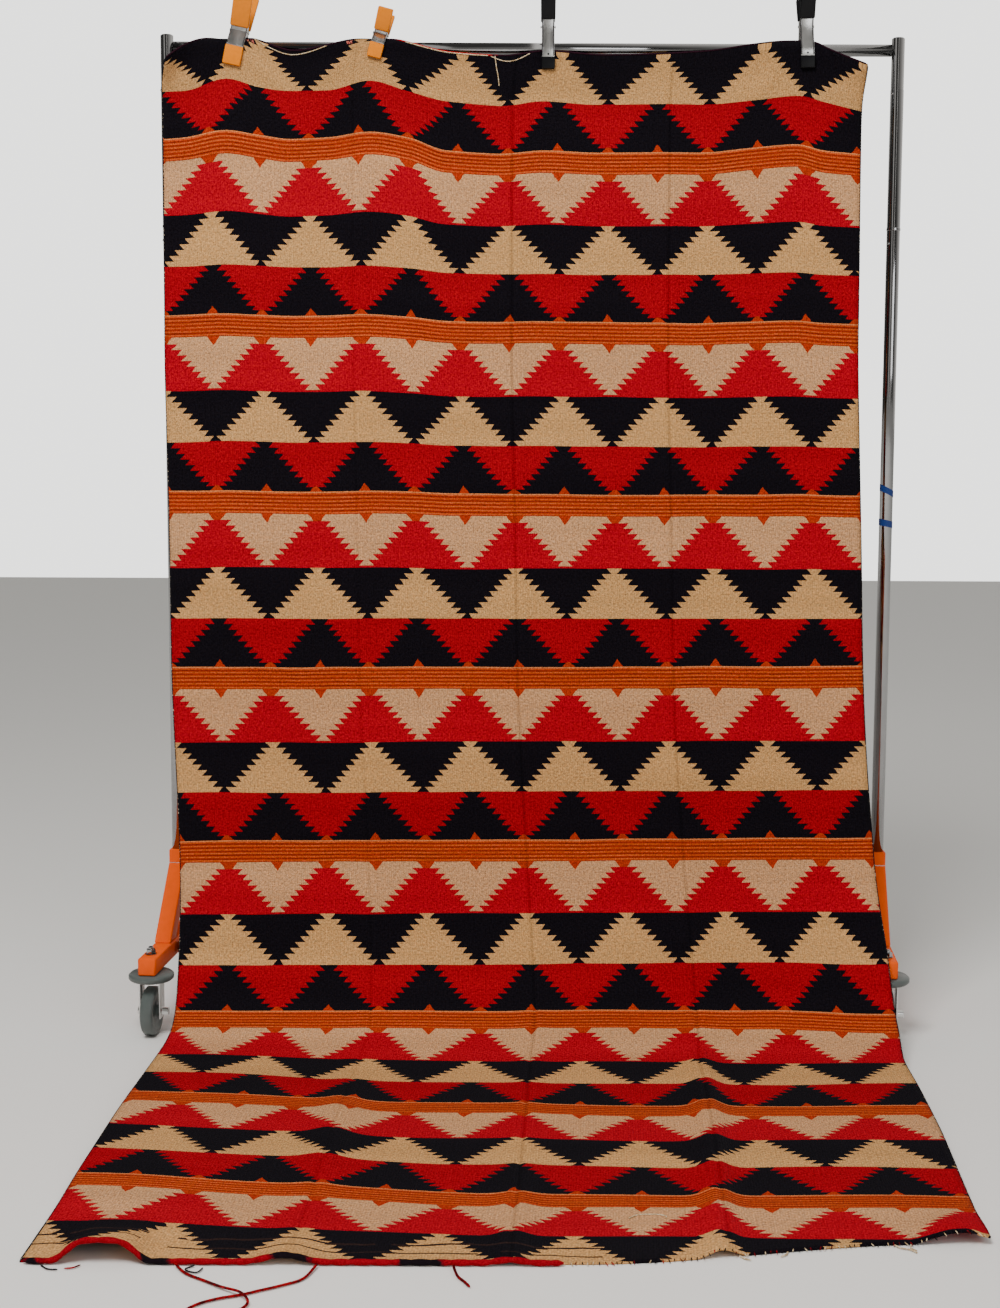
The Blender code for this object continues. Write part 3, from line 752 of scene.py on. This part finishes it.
# Just off the cloth's end and just off the floor
roll_line = np.stack([x, FRONT - forward - ROLL_R - 0.0006, up + ROLL_R + 0.0003], axis=1)
roll = build("twined_roll", [strand(roll_line, ROLL_R, pitch=0.06, sides=14)], roll_yarn)
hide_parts("end_binding")
print("the roll is", round(float(x[-1] - x[0]), 3), "m long")

# %% Selvedges
# The wefts turn round a pair of doubled cords along both sides. Yarn lies no lower than LOWEST.
SIDE_R = 0.0019
LOWEST = 0.0022


def side_line(u):
    """A line down one side of the cloth, in the middle of its thickness."""
    v = np.linspace(0.004, LENGTH - 0.004 - end_cut(u), 420)
    x, forward, up = surface(np.full(len(v), u), v)
    lean = np.radians(smooth(v, LEAN))
    forward += THICK / 2 * np.cos(lean)
    up = np.maximum(up + THICK / 2 * np.sin(lean), LOWEST)
    return np.stack([x, FRONT - forward, up], axis=1)


sides = [side_line(u) for u in (-HALF + 0.0004, HALF - 0.0004)]
sides = [strand(line, SIDE_R, pitch=0.012, sides=8, close=0.003) for line in sides]
selvedges = build("selvedge_cords", sides, edge_yarn)

# %% Free yarn ends
# Each route is the CAD's own: x, forward and up in mm, eased into a smooth line.
TAIL_R = 0.00225
TAILS = {
    "tail_a": [
        (-545.5, 1342, 6), (-525, 1360, 3), (-495, 1383, 3), (-464, 1408, 4.5), (-433, 1433, 8.5),
        (-419, 1456, 5), (-430, 1478, 3), (-460, 1493, 3), (-494, 1502, 3),
    ],
    "tail_b": [
        (-332, 1349, 6), (-348, 1376, 3), (-376, 1398, 3), (-408, 1416, 3), (-433, 1430, 3),
        (-464, 1442, 3), (-493, 1462, 3), (-514, 1496, 3), (-525, 1530, 3),
    ],
    "tail_c": [(-130, 1349, 6), (-122, 1365, 3), (-112, 1383, 3), (-103, 1401, 3)],
}


def eased(points, between):
    """A smooth line through the points, as a list of closer ones."""
    points = [Vector(point) for point in points]
    whole = [points[0] * 2 - points[1]] + points + [points[-1] * 2 - points[-2]]
    line = []
    for i in range(1, len(whole) - 2):
        before, here, there, after = whole[i - 1:i + 3]
        for k in range(between):
            s = k / between
            bend = (before - here * 3 + there * 3 - after) * -1 * s ** 3
            bend = bend + (before * 2 - here * 5 + there * 4 - after) * s * s
            line.append(here + (bend + (there - before) * s) / 2)
    return [tuple(point) for point in line] + [tuple(points[-1])]


# %% Lay the free ends
x, edge_forward, up = folded(spots, LENGTH - end_cut(spots))
for name, points in TAILS.items():
    points = mm(points)
    root = points[0][0]
    heading = Vector(points[1]) - Vector(points[0])
    clear = 2 * ROLL_R + 0.001 + TAIL_R * abs(heading.x) / heading.length
    points[0] = (root, float(np.interp(root, x, edge_forward)) + clear, points[0][2])
    route = [(px, FRONT - pf, pz) for px, pf, pz in eased(points, 4)]
    long = sum((Vector(b) - Vector(a)).length for a, b in zip(route, route[1:]))
    tail = build(f"yarn_{name}", [strand(route, TAIL_R, pitch=0.008)], red_yarn)
    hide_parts(name)
    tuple(route[0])
    print(name, "is", round(long, 3), "m long")

# %% Frayed end
# Weft tips stick out along the bare right part of the end.
chance = np.random.default_rng(7)
threads = {"red": red_yarn, "black": black_yarn, "cream": cream_yarn, "rose": rose_yarn}
tips = {kind: [] for kind in threads}
for place in np.linspace(0.09, HALF - 0.01, 74):
    x, forward, up = spot_on(place, LENGTH - end_cut(place))
    kind = ("black", "black", "red", "cream")[int(chance.integers(4))]
    reach = chance.uniform(0.003, 0.009)
    lean = chance.uniform(-0.8, 0.8) * reach
    end = FRONT - forward
    line = [(x, end + 0.004, up + 0.0028), (x + lean / 2, end - reach / 2, up + 0.0028),
            (x + lean, end - reach, up + 0.0016)]
    tips[kind].append(strand(line, 0.001, pitch=0.006, sides=5, close=0.003))

# %% Loose threads
LOOSE = [
    # kind, across in metres, points as sideways and forward steps from the cloth's end in mm
    ("cream", 0.345, [(0, 0), (6, 10), (16, 16)]),
    ("cream", 0.42, [(0, 0), (-4, 11), (-14, 19)]),
    ("cream", 0.585, [(0, 0), (8, 12), (22, 18), (30, 30)]),
    ("cream", 0.612, [(0, 0), (-3, 14), (4, 24)]),
    ("black", -0.7, [(0, 12), (14, 26), (30, 28)]),
    ("black", -0.47, [(0, 12), (-12, 26), (6, 36), (14, 20)]),
    ("red", -0.64, [(0, 12), (-10, 22), (-22, 24)]),
]
for kind, place, steps in LOOSE:
    x, forward, up = spot_on(place, LENGTH - end_cut(place))
    line = [(x + dx, FRONT - forward - df, LOWEST) for dx, df in mm(steps)]
    tips[kind].append(strand(eased(line, 5), 0.0013, pitch=0.006, sides=6))

# %% Threads that lie on the cloth
def on_cloth(spots, off):
    """A smooth line that lies a little off the front of the cloth, through points of u and v."""
    line = []
    for u, v in spots:
        x, forward, up = spot_on(u, v)
        lean = radians(float(smooth(np.array(v), LEAN)))
        off_forward = (THICK + off) * cos(lean)
        line.append((x, FRONT - forward - off_forward, up + (THICK + off) * sin(lean)))
    return eased(line, 6)


# One pale weft has come out of a tan pyramid on the floor
tips["cream"].append(strand(on_cloth([
    (0.178, 2.884), (0.19, 2.872), (0.204, 2.868), (0.226, 2.869), (0.238, 2.876), (0.237, 2.884),
], 0.0012), 0.0011, pitch=0.006, sides=6))
# Faded ends stand out where two pyramids reach the top edge, and short dark ones at the right corner
for middle, count in ((-0.562, 9), (-0.352, 9), (0.672, 7)):
    for _ in range(count):
        start = middle + chance.uniform(-0.008, 0.008)
        reach = chance.uniform(0.006, 0.013)
        lean = chance.uniform(-0.7, 0.7) * reach
        line = [(start, 0.002), (start + lean / 2, 0.002 + reach / 2), (start + lean, 0.002 + reach)]
        kind = "rose" if middle < 0.5 else "black"
        tips[kind].append(strand(on_cloth(line, 0.0014), 0.0012, pitch=0.006, sides=5, close=0.0025))
fray = [build("frayed_" + kind, shapes, threads[kind]) for kind, shapes in tips.items()]

# %% Cords along the top edge
# A dark cord closes the top edge, and slack cream warp yarn hangs in arcs before it.
def top_line(low, high, drop, count, out=0, sag=0):
    """A line along the front of the top edge, at a drop below it, which may sag in the middle."""
    places = np.linspace(low, high, count)
    hang = drop + sag * np.sin(np.linspace(0, pi, count))
    x, forward, up = surface(places, hang)
    _, forward_below, up_below = surface(places, hang + 0.003)
    slope = np.stack([forward_below - forward, up_below - up], axis=1)
    slope /= np.linalg.norm(slope, axis=1)[:, None]
    off = THICK + out
    return np.stack([x, FRONT - forward + off * slope[:, 1], up + off * slope[:, 0]], axis=1)


edge_line = top_line(-HALF + 0.003, HALF - 0.003, 0.0015, 240)
selvedge = build("top_cord", [strand(edge_line, SIDE_R, pitch=0.009)], top_yarn)
slack = [
    (top_line(-0.553, -0.4, 0.0035, 60, 0.0012, 0.01), 0.001),
    (top_line(-0.055, 0.028, 0.004, 40, 0.0014, 0.011), 0.001),
    (top_line(-0.235, -0.06, 0.003, 60, 0.0012), 0.0012),
    (on_cloth([(-0.046, 0.003), (-0.04, 0.028), (-0.034, 0.048), (-0.03, 0.068)], 0.002), 0.001),
]
slack = [strand(line, radius, pitch=0.007) for line, radius in slack]
cream_cord = build("cream_warp_cord", slack, cream_yarn)

# %% [markdown]
# ## The rack and the clamps
# The hard parts keep the CAD's shapes. Each is copied, its edges rounded a little, and given the
# material of the real part. Chrome plate is a mirror with a trace of haze, powder coat is a thick
# even paint with a fine orange-peel skin, zinc plate is a duller metal with a patchy bloom, and
# the clamps' handles were dipped in soft vinyl.

# %% Metal, paint and rubber
def hard_finish(name, colour, metallic, rough, spread, size, bump, gleam=0.5):
    """A hard surface: even colour with faint patches, uneven gloss and fine relief."""
    made, tree, shader = new_material(name)
    spot = put(tree, "TexCoord", out=3)
    patch = put(tree, "TexNoise", {"Vector": spot, "Scale": size, "Detail": 4})
    rgb = srgb(colour)
    darker = tuple(channel * 0.82 for channel in rgb[:3]) + (1,)
    tint = put(tree, "Mix", {0: patch, 6: darker, 7: rgb}, **RGBA)
    gloss = put(tree, "MapRange", [patch, 0, 1, rough - spread, rough + spread])
    fine = put(tree, "TexNoise", {"Vector": spot, "Scale": size * 14, "Detail": 2})
    relief = put(tree, "Bump", {"Height": fine, "Strength": 0.4, "Distance": bump})
    fill(shader, {"Base Color": tint, "Roughness": gloss, "Normal": relief})
    fill(shader, {"Metallic": metallic, "Specular IOR Level": gleam})
    return made


PAINTS = {
    # name, colour, metallic, roughness and its spread, patches per metre, bump in metres, gleam
    "chrome": hard_finish("chrome_plate", "A8A8A9", 1, 0.09, 0.03, 30, 0.00001),
    "powder_coat": hard_finish("orange_powder_coat", "EC5600", 0, 0.42, 0.05, 60, 0.00006, 0.12),
    "zinc_steel": hard_finish("zinc_plated_steel", "E4E4E2", 1, 0.33, 0.06, 120, 0.00003),
    "wheel_rubber": hard_finish("grey_wheel_rubber", "525855", 0, 0.38, 0.08, 90, 0.00005),
    "grip_vinyl": hard_finish("dipped_orange_vinyl", "DC7A00", 0, 0.34, 0.06, 150, 0.00005, 0.2),
    "grip_rubber": hard_finish("black_moulded_grip", "0C0C0E", 0, 0.45, 0.08, 150, 0.00005, 0.2),
}
tape_paper = hard_finish("blue_crepe_tape", "0E2E6C", 0, 0.7, 0.05, 400, 0.0002)
print(len(PAINTS), "hard finishes")

# %% Copies of the CAD parts with soft edges
# The soft parts are made anew above, and the springs below
SKIP = {"rug", "end_binding", "tail_a", "tail_b", "tail_c"}
# Which parts get rounded edges, and how wide in metres
ROUNDED = [
    ("_arm_", 0.0004), ("fork", 0.0004), ("_grip_", 0.0008), ("_tip_", 0.0008), ("foot", 0.0012),
    ("arch", 0.0009),
]
slots = {part["node"]: part["material_slot"] for part in frame["record"]["subparts"]}
hard = [name for name in sorted(nodes) if name not in SKIP and not name.endswith("_coil")]
for name in hard:
    node = nodes[name]
    data = node.data.copy()
    data.materials.clear()
    data.materials.append(PAINTS[slots[name]])
    made = add(name + "_finished", data)
    made.matrix_world = node.matrix_world
    weld = made.modifiers.new("weld", "WELD")
    weld.merge_threshold = 0.00001
    for word, width in ROUNDED:
        if word in name:
            edge = made.modifiers.new("edges", "BEVEL")
            edge.width = width
            edge.segments = 2
            edge.limit_method = "ANGLE"
            edge.angle_limit = radians(38)
    data.shade_smooth()
    data.set_sharp_from_angle(angle=radians(34))
    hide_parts(name)
    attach(made, "root")
print(len(hard), "hard parts finished")

# %% [markdown]
# ## Clamp steel
# A spring clamp is two pressed steel arms with folded sides, a rivet through both and a coiled
# spring on it that pushes the handles apart. The CAD has the arms and a plain roll where the
# spring is. The rest follows the same table of sizes.

# %% Sizes of the clamps
CLAMPS = [
    # name, place, tilt, tip high, pivot, half gap, grip low, width, round the rail
    ("clamp_1", -0.623, 12, -0.001, 0.034, 0.0105, 0.042, 0.04, False),
    ("clamp_2", -0.3266, 15, 0.006, 0.03, 0.0078, 0.036, 0.032, False),
    ("clamp_3", 0.0325, 0, -0.021, 0.045, 0.0105, 0.059, 0.03, True),
    ("clamp_4", 0.575, -1, -0.016, 0.048, 0.0105, 0.063, 0.032, True),
]
SHEET = 0.002
WIRE = 0.001
# Steps of one turn of the spring, and how far it stays inside the clamp's edges
TURN = 16
SPRING_IN = 0.005
# Half of a rivet: radius, and distance beyond the clamp's edge
HEAD = [(0.0008, 0.0012), (0.0026, 0.0008), (0.0034, -0.0002), (0.0016, -0.0004)]
# Painted shade for the hole in a clamp's pad: radius, and height out of the pad
PAD_HOLE_SHADE = [(0.002, 0), (0.002, 0.0005), (0.0012, 0.001), (0.0003, 0.0011)]
UP = (0, 0, 1)

# %% Shapes for the clamps
def turned(profile, place, axis, sides):
    """A closed shape turned round an axis, from points of radius and distance along it."""
    axis = Vector(axis).normalized()
    side = axis.orthogonal().normalized()
    other = axis.cross(side)
    points = []
    for radius, along in profile:
        for k in range(sides):
            angle = 2 * pi * k / sides
            points.append(Vector(place) + axis * along + (side * cos(angle) + other * sin(angle)) * radius)
    return points, tube_faces(len(profile), sides)


def strip_faces(count):
    """Faces of a strip that has four points at each station, closed at both ends."""
    last = 4 * (count - 1)
    faces = [[0, 1, 3, 2], [last, last + 2, last + 3, last + 1]]
    for i in range(0, last, 4):
        faces += [[i, i + 4, i + 5, i + 1], [i + 2, i + 3, i + 7, i + 6],
                  [i, i + 2, i + 6, i + 4], [i + 1, i + 5, i + 7, i + 3]]
    return faces


def coiled_wire(nip, pivot, half):
    """Turns of wire about the rivet, and a leg up along each handle: x, forward and up."""
    coil_r = nip - 0.0014 - WIRE
    turns = round(half / (WIRE * 1.25))
    count = turns * TURN + TURN // 2
    wire = [(-half, coil_r, pivot + 0.016), (-half, coil_r, pivot + 0.008)]
    for i in range(count + 1):
        angle = 2 * pi * i / TURN
        wire.append((-half + 2 * half * i / count, coil_r * cos(angle), pivot - coil_r * sin(angle)))
    return turns, wire + [(half, -coil_r, pivot + 0.008), (half, -coil_r, pivot + 0.016)]


def folded_sides(lean, line, way, inset, nip, pivot):
    """Strips that stand in from both edges of an arm, with an ear at the rivet."""
    ups = np.linspace(line[0][0], line[-1][0], 15)
    outer = np.interp(ups, [row[0] for row in line], [row[1] for row in line]) - SHEET / 2
    depth = 0.003 + (nip + 0.0022) * bell(ups, pivot, 0.007)
    for hand in (-1, 1):
        points = []
        for up_at, edge_at, deep in zip(ups, outer, depth):
            for across in (inset, inset + 0.0009):
                for forward in (edge_at, edge_at - deep):
                    points.append(lean @ Vector((hand * across, -way * forward, up_at)))
        yield points, strip_faces(len(ups))


# %% Springs, rivets and folded sides
for name, place, tilt, high_edge, pivot, nip, start, width, round_rail in CLAMPS:
    lean = Matrix.Translation((place, FRONT, RAIL_Z)) @ Matrix.Rotation(radians(tilt), 4, "Y")
    turns, wire = coiled_wire(nip, pivot, width / 2 - SPRING_IN)
    wire = [tuple(lean @ Vector((across, -forward, up))) for across, forward, up in wire]
    wire = strand(wire, WIRE, plies=0, sides=8, close=0.0012)
    spring = build(name + "_spring", [wire], PAINTS["zinc_steel"])
    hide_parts(name + "_coil")
    # The rivet has a low domed head on each side
    rivet = [(radius, -width / 2 - beyond) for radius, beyond in HEAD]
    rivet += [(radius, width / 2 + beyond) for radius, beyond in HEAD[::-1]]
    centre = lean @ Vector((0, 0, pivot))
    shapes = [turned(rivet, centre, lean.to_3x3() @ Vector((1, 0, 0)), 16)]
    for way in (1, -1):
        inset = width / 2 - (0.003 if way > 0 else 0.0041)
        line = [(high_edge + 0.004, 0.0238), (0.0215, 0.0158), (pivot, nip), (start - 0.001, nip + 0.0018)]
        if round_rail:
            line[0] = (0.003, 0.0236 if way > 0 else 0.0193)
            line[1] = (0.0215, 0.0158 if way > 0 else 0.0143)
        shapes += folded_sides(lean, line, way, inset, nip, pivot)
    # The front arm's edges are rolled, which gives each a bright line
    front = [(0.0251, high_edge + 0.0012), (0.017, 0.0213), (nip + 0.0011, pivot)]
    front.append((nip + 0.003, start - 0.0006))
    if round_rail:
        front.insert(1, (0.0251, 0.001))
    rolled = []
    for hand in (-1, 1):
        line = [tuple(lean @ Vector((hand * (width / 2 - 0.0036), -forward, up))) for forward, up in front]
        rolled.append(strand(line, 0.0016, plies=0, sides=10, close=0.002))
    build(name + "_rolled_edges", rolled, PAINTS["chrome"])
    build(name + "_rivet_and_sides", shapes, PAINTS["zinc_steel"])
    # Painted shade: a small black dome stands for the shaded hole in the pad of the two plain clamps
    if round_rail:
        spot = lean @ Vector((0, -0.025, high_edge + 0.0062))
        build(name + "_pad_hole_shade", [turned(PAD_HOLE_SHADE, spot, (0, -1, 0), 14)], PAINTS["grip_rubber"])
    print(name, "spring has", turns, "turns")

# %% [markdown]
# ## Bolts, seams and tape
# Small things show that the rack was put together: a nut on a washer holds each caster's stem, the
# posts slide together in two lengths with a snap button, a weld bead runs under each sleeve, and
# two wraps of blue tape are left on the right post. Turned profiles make the nuts, the lip and the
# buttons; the weld bead is a strand and the tape a strip.

# %% Profiles of the small parts
POST_X = 0.769
POST_R = 0.014
FOOT_HIGH = 0.172
CASTER_OUT = 0.228
FOOT_TURN = radians(5.1)
JOINT = 1.692
TOP_BUTTON = 1.972
BEAD_HIGH = 0.3196
# Points of radius and height, or of radius and distance out for the button
WASHER = [(0.0055, 0.0002), (0.012, 0.0002), (0.012, 0.0018), (0.0098, 0.002), (0.0055, 0.002)]
NUT = [
    (0.006, 0.002), (0.0094, 0.002), (0.0106, 0.0032), (0.0106, 0.01), (0.0094, 0.0112),
    (0.006, 0.0112),
]
STUD = [(0.0056, 0.011), (0.0056, 0.015), (0.0044, 0.0164), (0.001, 0.0166)]
BOLT = ((WASHER, 28), (NUT, 6), (STUD, 18))
LIP = [
    (POST_R + 0.0001, JOINT - 0.003), (POST_R + 0.0009, JOINT - 0.0022),
    (POST_R + 0.0009, JOINT + 0.0018), (POST_R + 0.0001, JOINT + 0.0026),
]
BUTTON = [(0.003, -0.0006), (0.003, 0.001), (0.002, 0.0022), (0.0006, 0.0027)]
BUTTON_WAY = Vector((-0.8, -0.6, 0))

# %% Nuts, joints and weld beads
for side, hand in ((-1, "left"), (1, "right")):
    shapes = []
    for way in (-1, 1):
        along = way * CASTER_OUT
        spot = (side * POST_X - along * sin(FOOT_TURN), FRONT - along * cos(FOOT_TURN), FOOT_HIGH)
        shapes += [turned(profile, spot, UP, sides) for profile, sides in BOLT]
    build("caster_nuts_" + hand, shapes, PAINTS["chrome"], 30)
    # The post's joint: a thin lip where the upper tube slides in, and the button that holds it
    shapes = [turned(LIP, (side * POST_X, FRONT, 0), UP, 32)]
    for up_at in (JOINT - 0.03, TOP_BUTTON):
        spot = Vector((side * POST_X, FRONT, up_at)) + BUTTON_WAY * POST_R
        shapes.append(turned(BUTTON, spot, BUTTON_WAY, 14))
    build("post_joint_" + hand, shapes, PAINTS["chrome"])
    # The weld under the sleeve, a low uneven bead across the front
    turn = Matrix.Rotation(-FOOT_TURN, 3, "Z")
    bead = []
    for k in range(25):
        across = -0.0165 + 0.033 * k / 24
        wavy = 0.0004 * sin(k * 2.1) + 0.0003 * sin(k * 0.9)
        spot = Vector((side * POST_X, FRONT, BEAD_HIGH + wavy)) + turn @ Vector((across, -0.0168, 0))
        bead.append(tuple(spot))
    build("weld_bead_" + hand, [strand(bead, 0.0011, pitch=0.004)], PAINTS["zinc_steel"])
print("nuts, joints and beads on both sides")

# %% Tape on the right post
ROUND = 48
TAPE_WIDE = 0.014


def tape(height, rise):
    """One wrap of tape round the right post: its height, and how far it climbs to the left."""
    points = []
    for k in range(ROUND + 1):
        angle = 2 * pi * k / ROUND
        up_at = height + rise * cos(angle)
        for radius in (POST_R + 0.0002, POST_R + 0.0006):
            for edge in (-TAPE_WIDE / 2, TAPE_WIDE / 2):
                points.append((POST_X - radius * cos(angle), FRONT - radius * sin(angle), up_at + edge))
    return points, strip_faces(ROUND + 1)


build("tape_wraps", [tape(1.139, 0.007), tape(1.069, 0.003)], tape_paper)
